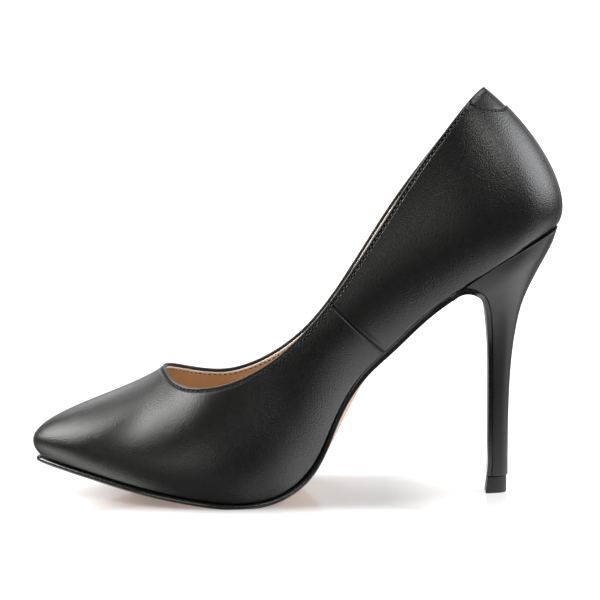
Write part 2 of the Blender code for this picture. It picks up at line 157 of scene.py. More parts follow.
def smooth_step(low, high, value):
    share = np.clip((value - low) / (high - low), 0.0, 1.0)
    return share * share * (3.0 - 2.0 * share)


def hill(distance, width):
    """A soft hill of height 1 that has all but gone at twice its width."""
    return np.exp(-((distance / width) ** 2))


class Spline:
    """A smooth curve through the points, read by station numbers. All curves of a shape share the spans."""

    def __init__(self, points, spans, closed):
        self.points = np.array(points, float)
        self.spans = np.array(spans, float)
        self.closed = closed
        self.slopes = self.solve_slopes()

    def solve_slopes(self):
        """Slopes at the points that make the curvature continuous."""
        p, h, n = self.points, self.spans, len(self.points)
        matrix, right = np.zeros((n, n)), np.zeros_like(p)
        for i in range(n):
            before, after = (i - 1) % n, (i + 1) % n
            if not self.closed and i in (0, n - 1):
                near = after if i == 0 else before
                span = h[0] if i == 0 else h[-1]
                matrix[i, i], matrix[i, near] = 2.0, 1.0
                right[i] = 3.0 * abs(near - i) * (p[near] - p[i]) * (near - i) / span
                continue
            back, front = h[before], h[i]
            matrix[i, before], matrix[i, i], matrix[i, after] = front, 2.0 * (back + front), back
            rise = front * (p[i] - p[before]) / back + back * (p[after] - p[i]) / front
            right[i] = 3.0 * rise
        return np.linalg.solve(matrix, right)

    def at(self, stations):
        stations = np.asarray(stations, float)
        count = len(self.points)
        number = np.floor(stations).astype(int)
        if not self.closed:
            number = np.clip(number, 0, count - 2)
        f = (stations - number)[..., None]
        i, j = number % count, (number + 1) % count
        span = self.spans[i][..., None]
        return (
            (1 + 2 * f) * (1 - f) ** 2 * self.points[i]
            + f * (1 - f) ** 2 * span * self.slopes[i]
            + f * f * (3 - 2 * f) * self.points[j]
            - f * f * (1 - f) * span * self.slopes[j]
        )


def chords(points, closed):
    points = np.array(points, float)
    ends = np.roll(points, -1, axis=0) if closed else points[1:]
    return np.linalg.norm(ends - points[: len(ends)], axis=1)


def open_spline(points):
    return Spline(points, chords(points, False), False)


def sole_up(number):
    """Unit vector square to the sole line at a station, into the shoe."""
    ahead = BOTTOM[min(number + 1, LAST_STATION)]
    behind = BOTTOM[max(number - 1, 0)]
    forward = unit(np.array([ahead.x - behind.x, 0.0, ahead.z - behind.z]))
    return np.array([forward[2], 0.0, -forward[0]])


def ring_rows():
    """(station number, side) round the shoe: side is -1 on the medial side and 1 on the lateral one."""
    medial = [(number, -1.0) for number in range(LAST_STATION + 1)]
    lateral = [(number, 1.0) for number in range(LAST_STATION - 1, 0, -1)]
    return medial + lateral


def feather_station(number, side):
    row = BOTTOM[number]
    half = row.medial if side < 0 else row.lateral
    lift = row.arch if side < 0 else 0.0
    return (np.array([row.x, side * half, row.z]) + lift * sole_up(number)) * MM


def topline_station(number, side):
    row = WALLS[number]
    drop = row.drop if side > 0 else 0.0
    return np.array([row.x, side * row.collar, row.z - drop]) * MM


def outward(points):
    """Level unit vectors that point out of a ring that runs clockwise seen from above."""
    run = np.roll(points, -1, axis=0) - np.roll(points, 1, axis=0)
    return unit(np.stack([-run[:, 1], run[:, 0], np.zeros(len(run))], axis=1))


class Last:
    """The outside of the upper: wall lines from the feather line to the topline, all round the shoe."""

    def __init__(self):
        rows = ring_rows()
        foot = np.array([feather_station(*row) for row in rows])
        top = np.array([topline_station(*row) for row in rows])
        up = np.array([sole_up(number) for number, _ in rows])
        out = outward(foot)
        low, high = [], []
        for i, (number, _) in enumerate(rows):
            wall = WALLS[number]
            low.append(foot[i] + (wall.up * up[i] + wall.out * out[i]) * MM)
            high.append(top[i] + wall.share * (foot[i] - top[i]) + wall.over * out[i] * MM)
        spans = (chords(foot, True) + chords(top, True)) / 2
        self.lines = [Spline(points, spans, True) for points in (foot, low, high, top)]
        self.out = Spline(out, spans, True)
        self.up = Spline(up, spans, True)
        values = [(BOTTOM[number].footbed, BOTTOM[number].edge) for number, _ in rows]
        self.values = Spline(values, spans, True)

    def point(self, stations, heights):
        """Points on the wall: heights run from 0 at the feather line to 1 at the topline."""
        foot, low, high, top = (line.at(stations) for line in self.lines)
        height = np.asarray(heights, float)[..., None]
        down = 1.0 - height
        return (
            down**3 * foot
            + 3 * down * down * height * low
            + 3 * down * height * height * high
            + height**3 * top
        )

    def normal(self, stations, heights, step=0.02):
        """Unit vectors out of the wall."""
        heights = np.asarray(heights, float)
        low, high = np.clip(heights - step, 0.0, 1.0), np.clip(heights + step, 0.0, 1.0)
        up = self.point(stations, high) - self.point(stations, low)
        run = self.point(stations + step, heights) - self.point(stations - step, heights)
        return unit(np.cross(up, run))

    def wall_length(self, stations, rows=13):
        heights = np.linspace(0.0, 1.0, rows)
        points = self.point(np.asarray(stations, float)[:, None], heights[None, :])
        return np.linalg.norm(np.diff(points, axis=1), axis=2).sum(axis=1)

    def heights_below(self, stations, below, rows=161):
        """Heights that lie these distances below the topline, measured down each station's wall line."""
        heights = np.linspace(1.0, 0.0, rows)
        points = self.point(stations[:, None], heights[None, :])
        steps = np.linalg.norm(np.diff(points, axis=1), axis=2)
        travelled = np.concatenate([np.zeros((len(stations), 1)), np.cumsum(steps, axis=1)], axis=1)
        return np.array([np.interp(b, t, heights) for b, t in zip(below, travelled)])

    def laid(self, stations, below, offset):
        """Points this far below the topline and this far out of the wall, one row for each station."""
        heights = self.heights_below(stations, below)
        columns = stations[:, None]
        return self.point(columns, heights) + offset[..., None] * self.normal(columns, heights)


LAST = Last()


def away_from_back(stations):
    """Stations between a place on the ring and the centre back, on either side."""
    return np.minimum(stations % RING, -stations % RING)


def rim_drop(stations):
    """How far the upper's rim lies below the topline: nought, but for the notch that the heel tab fills."""
    depth = TAB_DEPTH * (1.0 - np.minimum(away_from_back(stations) / TAB_REACH, 1.0) ** 3.5)
    heights = 1.0 - depth / LAST.wall_length(stations)
    samples = np.linspace(0.0, 1.0, 25)
    spread = heights[:, None] + (1.0 - heights[:, None]) * samples[None, :]
    points = LAST.point(stations[:, None], spread)
    return np.linalg.norm(np.diff(points, axis=1), axis=2).sum(axis=1)


# Meshes


def mapped_grid(points, finish_number=None):
    """A grid of faces whose corners lie at points[column, row]; corners that coincide are merged.

    finish_number tells by a face's column and row which of the piece's finishes it takes.
    """
    columns, rows = points.shape[0] - 1, points.shape[1] - 1
    grid = bmesh.new()
    bmesh.ops.create_grid(grid, x_segments=columns, y_segments=rows, size=1.0)
    if finish_number:
        for face in grid.faces:
            centre = face.calc_center_median()
            place = int((centre.x + 1.0) / 2.0 * columns), int((centre.y + 1.0) / 2.0 * rows)
            face.material_index = int(finish_number(*place))
    for corner in grid.verts:
        i = round((corner.co.x + 1.0) / 2.0 * columns)
        j = round((corner.co.y + 1.0) / 2.0 * rows)
        corner.co = points[i, j]
    bmesh.ops.remove_doubles(grid, verts=grid.verts, dist=1e-7)
    bmesh.ops.dissolve_degenerate(grid, edges=grid.edges, dist=1e-7)
    bmesh.ops.recalc_face_normals(grid, faces=grid.faces)
    return grid


def wrapped(points, axis):
    """The points with their first row or column repeated at the end, which closes a ring."""
    return np.concatenate([points, np.take(points, [0], axis=axis)], axis=axis)


def add_piece(name, mesh_source, finishes, stands_for=(), sharp_angle=None):
    mesh = bpy.data.meshes.new(name)
    mesh_source.to_mesh(mesh)
    mesh_source.free()
    for finish in finishes if isinstance(finishes, tuple) else (finishes,):
        mesh.materials.append(finish)
    mesh.shade_smooth()
    if sharp_angle:
        mesh.set_sharp_from_angle(angle=math.radians(sharp_angle))
    made = bpy.data.objects.new(name, mesh)
    bpy.context.scene.collection.objects.link(made)
    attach(made, "root")
    if stands_for:
        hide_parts(*stands_for)
    return made


# Upper, lining and heel tab


def upper_stations():
    """Ring stations of the upper, closer together at the side seam and where the heel notch turns up."""
    plain = np.arange(0.0, RING, 1 / 14)
    seam = SEAM_STATION + np.linspace(-0.2, 0.25, 46)
    notch = np.arange(1.0, 1.6, 0.03)
    return np.unique(np.round(np.concatenate([plain, seam, notch, RING - notch]), 5))


def stitch_row(stations):
    """How far the stitch row lies below the upper's rim: nearer along the heel notch."""
    share = smooth_step(TAB_REACH - 0.1, TAB_REACH + 0.1, away_from_back(stations))
    front = 0.35 * MM * hill(stations - LAST_STATION, 1.3)
    return TAB_STITCH + (TOPLINE_STITCH - TAB_STITCH) * share + front


BEAD_HEIGHT, BEAD_WIDTH = 0.14, 0.6  # in millimetres
STITCH_PULL = 0.55  # how deep the stitch row draws the leather in, in millimetres


def bead(below, row, height=BEAD_HEIGHT, width=BEAD_WIDTH):
    """The rim's soft bead, pulled in by the stitch row below it. Height and width are in millimetres."""
    swell = height * hill(below - (width + 0.1) * MM, width * MM)
    return (swell - STITCH_PULL * hill(below - row, 0.45 * MM)) * MM


# Profile of the side seam in millimetres: the rounded edges of quarter and vamp, and the groove between
# them. place is counted from the seam towards the toe.
SeamHill = namedtuple("SeamHill", "height place width")
SEAM_HILLS = (
    SeamHill(0.18, -1.1, 0.7),
    SeamHill(0.20, 0.85, 0.35),
    SeamHill(-0.70, 0.0, 0.42),
)


def seam_groove(stations, heights):
    away = (stations - SEAM_STATION - SEAM_LEAN * (1.0 - heights)) * STATION_WIDTH
    return sum(row.height * hill(away - row.place * MM, row.width * MM) for row in SEAM_HILLS) * MM


HOLLOW_DEPTH = 0.60 * MM
HOLLOW_STATION, HOLLOW_HEIGHT = 13.85, 0.62  # its middle
HOLLOW_LEAN = 0.8  # stations that it leans forward over the wall's whole height


def vamp_hollow(stations, heights):
    """A shallow hollow across the vamp in front of the throat, on the medial side, which parts the light."""
    across = hill(stations - HOLLOW_STATION - HOLLOW_LEAN * (heights - 0.6), 0.45)
    return -HOLLOW_DEPTH * across * hill(heights - HOLLOW_HEIGHT, 0.24)


def foot_turn(stations, above):
    """How far the upper's lower edge is rounded in, this far above the feather line: most at the shank."""
    radius, turned = 1.9 * MM, 1.3 * MM
    rest = np.clip(turned - above, 0.0, turned)
    away = away_from_back(stations)
    share = smooth_step(4.0, 4.9, away) * (1.0 - 0.8 * smooth_step(8.5, 10.5, away))
    return (radius - np.sqrt(radius**2 - rest**2)) * (0.15 + 0.85 * share)


# Rows of the upper's outside, in millimetres: above the feather line, and below the rim
FOOT_ROWS = np.array([[0.0, 0.15, 0.32, 0.5, 0.7, 0.95, 1.25, 1.6]])
RIM_ROWS = np.array([[3.4, 2.95, 2.6, 2.35, 2.15, 2.0, 1.85, 1.7, 1.55, 1.4, 1.2, 1.0, 0.75]])

# The edge turned in under the insole, from its inner end: millimetres up from the feather line and in from it
TurnedEdge = namedtuple("TurnedEdge", "rise inset")
TURNED_EDGE = (
    TurnedEdge(0.8, 6.0),
    TurnedEdge(-0.25, 6.0),
    TurnedEdge(-0.25, 1.4),
    TurnedEdge(-0.14, 0.9),
)
HEEL_SEAT_DROP = 0.22 * MM  # how far the upper's edge reaches down past the feather line over the heel


def make_upper(finish):
    stations = upper_stations()
    drop = rim_drop(stations)[:, None]
    length = LAST.wall_length(stations, 161)[:, None] - drop
    row = stitch_row(stations)[:, None]
    front = hill(stations - LAST_STATION, 1.3)[:, None]
    rise, width = BEAD_HEIGHT + 0.3 * front, BEAD_WIDTH + 0.1 * front
    fine = 4.0 * MM
    shares = np.linspace(1.0, 0.0, 44)[None, :]
    plain_rows = fine + shares * (length - 2.1 * MM - fine)
    rim_rows = np.repeat(RIM_ROWS * MM, len(stations), axis=0)
    outer = np.concatenate([length - FOOT_ROWS * MM, plain_rows, rim_rows], axis=1)
    turn = np.radians(np.linspace(0.0, 180.0, 9))[None, :]
    fold = LEATHER / 2
    over = np.repeat(fold * (1.0 - np.sin(turn)), len(stations), axis=0)
    inner = fine + np.linspace(0.0, 0.96, 12)[None, :] * (length - fine)
    below = np.concatenate([outer, over, inner], axis=1)
    offset = np.concatenate(
        [
            bead(outer, row, rise, width),
            bead(over, row, rise, width) * (1.0 + np.cos(turn)) / 2 + fold * (np.cos(turn) - 1.0),
            np.full(inner.shape, -LEATHER),
        ],
        axis=1,
    )
    heights = LAST.heights_below(stations, drop + below)
    outside = np.arange(below.shape[1])[None, :] < outer.shape[1] + over.shape[1] // 2 + 1
    relief = seam_groove(stations[:, None], heights) + vamp_hollow(stations[:, None], heights)
    relief = relief - foot_turn(stations[:, None], length - below)
    offset = offset + np.where(outside, relief, 0.0)
    points = LAST.laid(stations, drop + below, offset)
    foot = LAST.point(stations, np.zeros(len(stations)))
    out, up = LAST.out.at(stations), LAST.up.at(stations)
    at_heel = (1.0 - smooth_step(4.2, 4.9, away_from_back(stations)))[:, None]
    points[:, 0] -= HEEL_SEAT_DROP * at_heel * up
    turned = [foot + row.rise * MM * up - row.inset * MM * out for row in TURNED_EDGE]
    points = np.concatenate([points, np.stack(turned, axis=1)], axis=1)
    grid = mapped_grid(wrapped(wrapped(points, 0), 1))
    return add_piece("upper_leather", grid, finish, ["upper"])


def ring_tube(stations, section):
    """A closed ring round the collar. section holds (below the topline, out of the wall) pairs."""
    below = np.repeat(np.array([[pair[0] for pair in section]]), len(stations), axis=0)
    offset = np.repeat(np.array([[pair[1] for pair in section]]), len(stations), axis=0)
    return mapped_grid(wrapped(wrapped(LAST.laid(stations, below, offset), 0), 1))


LINING_OUT, LINING_IN = -1.25 * MM, -1.75 * MM
EDGE_BAND = 0.8 * MM  # how much of the lining's cut edge stays pale


def make_lining(finish):
    stations = np.arange(0.0, RING, 1 / 8)
    length = LAST.wall_length(stations, 161)[:, None]
    start = LINING_DROP + EDGE_BAND
    shares = np.linspace(0.0, 1.0, 30)[None, :]
    down = start + shares * (length - start - 1.5 * MM)
    below = np.concatenate([down[:, ::-1], down], axis=1)
    offset = np.concatenate([np.full(down.shape, LINING_OUT), np.full(down.shape, LINING_IN)], axis=1)
    grid = mapped_grid(wrapped(wrapped(LAST.laid(stations, below, offset), 0), 1))
    return add_piece("lining", grid, finish)


def make_lining_edge(finish):
    stations = np.arange(0.0, RING, 1 / 12)
    top, foot = LINING_DROP, LINING_DROP + EDGE_BAND
    section = [
        (foot, LINING_OUT),
        (top + 0.1 * MM, LINING_OUT),
        (top, LINING_OUT - 0.12 * MM),
        (top, LINING_IN + 0.15 * MM),
        (top + 0.12 * MM, LINING_IN - 0.02 * MM),
        (foot, LINING_IN - 0.03 * MM),
    ]
    return add_piece("lining_edge", ring_tube(stations, section), finish)


def make_heel_tab(finish):
    corner = np.linspace(1.0, TAB_END, 24)
    stations = np.concatenate([-corner[::-1], np.linspace(-0.95, 0.95, 39), corner])
    depth = rim_drop(stations)[:, None] + 0.2 * MM
    fold = TAB_LEATHER / 2
    turn = np.radians(np.linspace(0.0, 180.0, 7))[None, :]
    shares = np.linspace(1.0, 0.0, 24)[None, :]
    face = fold + shares * np.maximum(depth - fold, 0.02 * MM)
    over = np.repeat(fold * (1.0 - np.sin(turn)), len(stations), axis=0)
    below = np.concatenate([face, over, face[:, ::-1]], axis=1)
    relief = 0.3 * bead(face, np.full_like(depth, TOPLINE_STITCH)) * smooth_step(2.5 * MM, 4.5 * MM, depth)
    offset = np.concatenate(
        [
            relief - TAB_SINK,
            np.repeat(fold * (np.cos(turn) - 1.0), len(stations), axis=0) - TAB_SINK,
            np.full(face.shape, -TAB_SINK - TAB_LEATHER),
        ],
        axis=1,
    )
    points = LAST.laid(stations, below, offset)
    for tip in (0, -1):
        points[tip] = points[tip].mean(axis=0)
    return add_piece("heel_tab_leather", mapped_grid(wrapped(points, 1)), finish, ["heel_tab"])


# Stitches

STITCH_PITCH = 2.3 * MM
STITCH_LENGTH = 1.5 * MM


def along_wall(first, last, below, offset, pitch):
    """Places a pitch apart on a line round the wall: (points, directions, normals)."""
    fine = np.linspace(first, last, 1500)
    depth = below(fine)[:, None]
    line = LAST.laid(fine, depth, np.full_like(depth, offset))[:, 0]
    travelled = np.concatenate([[0.0], np.cumsum(np.linalg.norm(np.diff(line, axis=0), axis=1))])
    count = max(int(round(travelled[-1] / pitch)), 1)
    places = (np.arange(count) + 0.5) * travelled[-1] / count

    def on_line(distances):
        return np.stack([np.interp(distances, travelled, line[:, axis]) for axis in range(3)], axis=1)

    ahead, behind = on_line(places + 0.2 * MM), on_line(places - 0.2 * MM)
    stations = np.interp(places, travelled, fine)
    heights = LAST.heights_below(stations, below(stations)[:, None])
    normals = LAST.normal(stations[:, None], heights)[:, 0]
    return on_line(places), unit(ahead - behind), normals


def make_stitches(name, row, half_width, finish):
    """A row of short threads, each a slim bead that dips into the leather at both ends."""
    threads = bmesh.new()
    for point, direction, normal in zip(*row):
        side = unit(np.cross(normal, direction))
        lean = unit(direction + 0.10 * side)
        across = unit(np.cross(normal, lean))
        turn = Matrix((across, np.cross(lean, across), lean)).transposed().to_4x4()
        size = Matrix.Diagonal((half_width, 0.8 * half_width, STITCH_LENGTH / 2, 1.0))
        place = Matrix.Translation(Vector(point)) @ turn @ size
        bmesh.ops.create_uvsphere(threads, u_segments=8, v_segments=6, radius=1.0, matrix=place)
    return add_piece(name, threads, finish)


def make_all_stitches(thread, lining_thread):
    def below_rim(stations):
        return rim_drop(stations) + stitch_row(stations)

    def below_topline(stations):
        return np.full_like(stations, TOPLINE_STITCH)

    def below_lining_edge(stations):
        return np.full_like(stations, LINING_DROP + EDGE_BAND + 0.45 * MM)

    sunk = -0.06 * MM  # the threads' middles lie this far out of the wall, so a little inside it
    topline = along_wall(1.62, RING - 1.62, below_rim, sunk, STITCH_PITCH)
    make_stitches("topline_stitches", topline, 0.31 * MM, thread)
    notch = along_wall(-1.40, 1.40, below_rim, sunk, 1.9 * MM)
    make_stitches("tab_rim_stitches", notch, 0.27 * MM, thread)
    tab_top = along_wall(-1.2, 1.2, below_topline, sunk - TAB_SINK, STITCH_PITCH)
    make_stitches("tab_top_stitches", tab_top, 0.27 * MM, thread)
    inside = along_wall(0.0, RING, below_lining_edge, LINING_IN - 0.05 * MM, STITCH_PITCH)
    make_stitches("lining_stitches", inside, 0.24 * MM, lining_thread)


# Insole and outsole


def ring_pairs(last):
    """Stations of opposite points of the ring, from the toe tip back: close together at the toe."""
    toe = LAST_STATION - np.array([0.0, 0.03, 0.08, 0.15, 0.24, 0.35, 0.5, 0.65, 0.8])
    plain = np.arange(LAST_STATION - 1.0, last - 1e-6, -1 / 8)
    medial = np.concatenate([toe, plain])
    return medial, RING - medial


def make_insole(finish):
    across = np.linspace(0.0, 1.0, 13)
    pair = ring_pairs(0.0)
    low, high = [], []
    for stations in pair:
        length = LAST.wall_length(stations)
        footbed = LAST.values.at(stations)[:, 0] * MM
        for heights, line, inset in ((GAP / length, low, WALL + GAP), (footbed / length, high, WALL)):
            heights = heights[:, None]
            columns = stations[:, None]
            points = LAST.point(columns, heights) - inset * LAST.normal(columns, heights)
            line.append(points[:, 0])
    bottom = [low[0] + share * (low[1] - low[0]) for share in across]
    top = [high[0] + share * (high[1] - high[0]) for share in across]
    points = np.stack(bottom + top[::-1], axis=1)
    return add_piece("sock", mapped_grid(wrapped(points, 1)), finish, ["insole"], 40)


# Edge of the outsole's section, from its top to its underside: a bevel that catches the light, a round
# side and a softened lower corner. depth is a share of the thickness, out is in millimetres.
SoleEdge = namedtuple("SoleEdge", "depth out")
SOLE_EDGE = (
    SoleEdge(0.0, -0.75),
    SoleEdge(0.03, -0.50),
    SoleEdge(0.12, -0.20),
    SoleEdge(0.22, 0.09),
    SoleEdge(0.31, 0.17),
    SoleEdge(0.50, 0.20),
    SoleEdge(0.68, 0.16),
    SoleEdge(0.82, 0.02),
    SoleEdge(0.93, -0.20),
    SoleEdge(0.985, -0.45),
    SoleEdge(1.0, -0.70),
)
FLAP_FLARE = 0.5 * MM  # how far the flap's lower end turns forward
FLAP_START = 6  # columns behind the shank's last one where the flap's black face begins
CROWN_DEPTH = 1.3 * MM  # how far the underside swells at the arch
CROWN_PLACE, CROWN_WIDTH = 18 * MM, 9 * MM  # where it swells along X, and over what length
SHANK_INSET = 1.8  # how far the sole's edge is drawn in along the shank, in millimetres


def shank_inset(stations):
    """How far the sole's edge is drawn in under the upper along the shank, in millimetres."""
    away = away_from_back(stations)
    return SHANK_INSET * smooth_step(3.9, 4.6, away) * (1.0 - smooth_step(7.0, 9.5, away))


def sole_lines():
    """Top edges of the outsole, from the toe tip to the flap's end: (medial, lateral, outs, thicknesses)."""
    pair = ring_pairs(float(SHANK_REAR))
    edges, outs = [], []
    for stations in pair:
        out = unit(LAST.out.at(stations))
        edge = (LAST.values.at(stations)[:, 1:] - shank_inset(stations)[:, None]) * MM
        edges.append(LAST.point(stations, np.zeros(len(stations))) + edge * out)
        outs.append(out)
    share = np.clip((BALL - pair[0]) / (BALL - SHANK_REAR), 0.0, 1.0)
    thick = (SOLE_THICK + (SHANK_THICK - SOLE_THICK) * share) * MM
    start = (edges[0][-1] + edges[1][-1]) / 2 / MM
    half = (edges[1][-1] - edges[0][-1])[1] / 2 / MM
    flap = open_spline([(start[0], start[2], half, thick[-1] / MM)] + [tuple(row) for row in FLAP])
    x, z, half, flap_thick = flap.at(np.arange(1, 6 * len(FLAP) + 1) / 6).T * MM
    x = x - FLAP_FLARE * smooth_step(13 * MM, 7.6 * MM, z)
    for place, side in enumerate((-1.0, 1.0)):
        edges[place] = np.concatenate([edges[place], np.stack([x, side * half, z], axis=1)])
        level = np.repeat([[0.0, side, 0.0]], len(x), axis=0)
        outs[place] = np.concatenate([outs[place], level])
    return edges, outs, np.concatenate([thick, flap_thick])


def outsole_sections():
    """Rows of the sole's edge from its top down, each a (medial, lateral) pair, and the underside's crown."""
    (medial, lateral), (medial_out, lateral_out), thick = sole_lines()
    middle = (medial + lateral) / 2
    run = np.gradient(middle, axis=0)
    down = unit(np.cross(np.array([0.0, 1.0, 0.0]), run))
    x = middle[:, 0]
    on_heel = smooth_step(72 * MM, 79 * MM, x)
    gap = GAP * smooth_step(70 * MM, 60 * MM, x) - 0.5 * MM * on_heel
    softness = 0.1 + 0.9 * smooth_step(30 * MM, 8 * MM, x)
    groove = 0.8 * on_heel
    sections = []
    for edge in SOLE_EDGE:
        level = (gap + edge.depth * (thick + GAP - gap))[:, None] * down
        out = (0.2 + (edge.out - 0.2) * softness - groove * (edge.depth < 0.15))[:, None] * MM
        sections.append((medial + level + out * medial_out, lateral + level + out * lateral_out))
    crown = CROWN_DEPTH * hill(x - CROWN_PLACE, CROWN_WIDTH)[:, None] * down
    return sections, crown


def make_outsole(edge_finish, bottom_finish, flap_finish):
    sections, crown = outsole_sections()
    plain = len(ring_pairs(float(SHANK_REAR))[0])
    count = len(SOLE_EDGE)
    shares = np.linspace(0.0, 1.0, 12)[1:-1]
    top, bottom = sections[0], sections[-1]
    loop = [pair[1] for pair in sections]
    loop += [
        bottom[1] + share * (bottom[0] - bottom[1]) + 4 * share * (1 - share) * crown
        for share in shares
    ]
    loop += [pair[0] for pair in sections[::-1]]
    loop += [top[0] + share * (top[1] - top[0]) for share in shares]
    points = np.stack(loop, axis=1)
    points[..., 2] = np.maximum(points[..., 2], 0.0)
    mirror = [(2 * count + len(shares) - 1 - i) % points.shape[1] for i in range(points.shape[1])]
    closing = (points[-1:] + points[-1:, mirror]) / 2

    def finish_number(column, row):
        if column >= plain + FLAP_START:
            return 2
        return count - 1 <= row < count + len(shares)

    grid = mapped_grid(wrapped(np.concatenate([points, closing]), 1), finish_number)
    return add_piece("sole", grid, (edge_finish, bottom_finish, flap_finish), ["outsole"], 50)


# Heel and top piece

HEEL_SIDE = 24  # points from the front corner of a heel section round to its back


def heel_outline(section, grow=0.0):
    """Points of one D-shaped section, from the front on the medial side round the back and forward again."""
    front = np.array([section.front_x, 0.0, section.front_z])
    back = np.array([section.back_x, 0.0, section.back_z])
    run = back - front
    up = unit(np.array([-run[2], 0.0, run[0]]))
    share = np.sin(np.linspace(0.0, math.pi / 2, HEEL_SIDE + 1))[:, None]
    width = section.half * np.maximum(1.0 - share**section.fullness, 0.0) ** 0.45
    spine = front + share * run + section.crown * 4 * share * (1 - share) * up
    medial = spine - width * np.array([0.0, 1.0, 0.0])
    lateral = (spine + width * np.array([0.0, 1.0, 0.0]))[-2::-1]
    outline = np.concatenate([medial, lateral])
    if np.ndim(grow) or grow:
        middle = front + 0.5 * run
        outline = outline + np.reshape(grow, (-1, 1)) * unit(outline - middle)
    return outline * MM


def flattened(outline):
    """The section drawn in to its middle line, which closes a solid."""
    return outline * np.array([1.0, 0.0, 1.0])


def heel_rim(step, share):
    """Relief at the top of the heel cover: a rolled edge over a fine groove, which fade out to the front."""
    back = smooth_step(0.70, 0.99, share)
    lip = 0.10 * hill(step - 0.08, 0.05) - 0.10 * hill(step, 0.012)
    wedge = 0.24 * back * hill(step - 0.18, 0.05)
    line = 0.18 * back * hill(step - 0.40, 0.03)
    return lip - wedge - line


def make_heel(finish):
    curve = open_spline([tuple(section) for section in HEEL])
    steps = np.concatenate([np.linspace(0.0, 0.5, 34), np.arange(0.625, len(HEEL) - 1.2, 0.125)])
    end = len(HEEL) - 1 - np.array([0.2, 0.1, 0.05, 0.025, 0.01, 0.0])
    share = np.sin(np.linspace(0.0, math.pi / 2, HEEL_SIDE + 1))
    share = np.concatenate([share, share[-2::-1]])
    outlines = []
    for step in np.concatenate([steps, end]):
        grow = heel_rim(step, share) - 0.25 * hill(step - (len(HEEL) - 1), 0.02)
        outlines.append(heel_outline(HeelSection(*curve.at(step)), grow))
    points = np.stack([flattened(outlines[0]), *outlines, flattened(outlines[-1])])
    return add_piece("heel_cover", mapped_grid(wrapped(points, 1)), finish, ["heel"], 60)


TIP_HEIGHT, TIP_FRONT, TIP_FLARE = 7.2, 82.0, 0.4

# Rounding of the top piece's edges: inset in millimetres at shares of the way from its top to its foot.
TIP_ROUNDING = ((0.0, 0.35), (0.015, 0.12), (0.05, 0.0), (0.5, 0.0), (0.93, 0.0), (0.975, 0.1), (1.0, 0.4))


def make_top_piece(finish):
    last = HEEL[-1]
    half = last.half - 0.15
    top = HeelSection(TIP_FRONT, TIP_HEIGHT, last.back_x - 0.6, TIP_HEIGHT, half, 0.0, last.fullness)
    foot = HeelSection(TIP_FRONT - 0.8, 0.0, last.back_x - 0.6, 0.0, half + TIP_FLARE, 0.0, last.fullness)
    outlines = []
    for share, inset in TIP_ROUNDING:
        between = HeelSection(*(a + share * (b - a) for a, b in zip(top, foot)))
        outlines.append(heel_outline(between, -inset))
    points = np.stack([flattened(outlines[0]), *outlines, flattened(outlines[-1])])
    grid = mapped_grid(wrapped(points, 1))
    return add_piece("top_piece_rubber", grid, finish, ["top_piece"], 50)


# Finishes


class Value:
    """A shader socket that takes part in sums."""

    def __init__(self, finish, socket):
        self.finish = finish
        self.socket = socket

    def joined(self, operation, first, second):
        return self.finish.node("ShaderNodeMath", {"operation": operation}, {0: first, 1: second})

    def __add__(self, other):
        return self.joined("ADD", self, other)

    def __radd__(self, other):
        return self.joined("ADD", other, self)

    def __sub__(self, other):
        return self.joined("SUBTRACT", self, other)

    def __rsub__(self, other):
        return self.joined("SUBTRACT", other, self)

    def __mul__(self, other):
        return self.joined("MULTIPLY", self, other)

    def __rmul__(self, other):
        return self.joined("MULTIPLY", other, self)

    def __abs__(self):
        return self.joined("ABSOLUTE", self, 0.0)


class Finish:
    """A material or world whose nodes are added one by one."""

    def __init__(self, owner):
        owner.use_nodes = True
        self.owner = owner
        self.tree = owner.node_tree

    def node(self, kind, settings=None, inputs=None, output=0):
        made = self.tree.nodes.new(kind)
        for name, value in (settings or {}).items():
            setattr(made, name, value)
        for name, value in (inputs or {}).items():
            self.feed(made.inputs[name], value)
        return Value(self, made.outputs[output])

    def feed(self, socket, value):
        if isinstance(value, Value):
            self.tree.links.new(value.socket, socket)
        else:
            socket.default_value = value

    def places(self):
        return self.node("ShaderNodeTexCoord", output="Object")

    def noise(self, scale, detail=2.0, roughness=0.5):
        inputs = {"Vector": self.places(), "Scale": scale, "Detail": detail, "Roughness": roughness}
        return self.node("ShaderNodeTexNoise", inputs=inputs, output="Fac")

    def mix(self, factor, first, second):
        inputs = {0: factor, 6: (*first, 1.0), 7: (*second, 1.0)}
        return self.node("ShaderNodeMix", {"data_type": "RGBA"}, inputs, 2)

    def ramp(self, value, low, high, first, second):
        """first where the value is below low, second where it is above high, and a smooth change between."""
        inputs = {"Value": value, "From Min": low, "From Max": high, "To Min": first, "To Max": second}
        return self.node("ShaderNodeMapRange", {"interpolation_type": "SMOOTHSTEP"}, inputs)

    def axis(self, vector, name):
        return self.node("ShaderNodeSeparateXYZ", inputs={0: vector}, output=name)

    def bump(self, height, depth):
        inputs = {"Strength": 1.0, "Distance": depth, "Height": height}
        return self.node("ShaderNodeBump", inputs=inputs, output="Normal")

    def surface(self, **inputs):
        """Sets the main shader's inputs, named as in Blender but in small letters with underscores."""
        shader = self.tree.nodes["Principled BSDF"]
        names = {name.lower().replace(" ", "_"): name for name in shader.inputs.keys()}
        for name, value in inputs.items():
            self.feed(shader.inputs[names[name]], value)
        return self.owner


def new_finish(name):
    return Finish(bpy.data.materials.new(name))


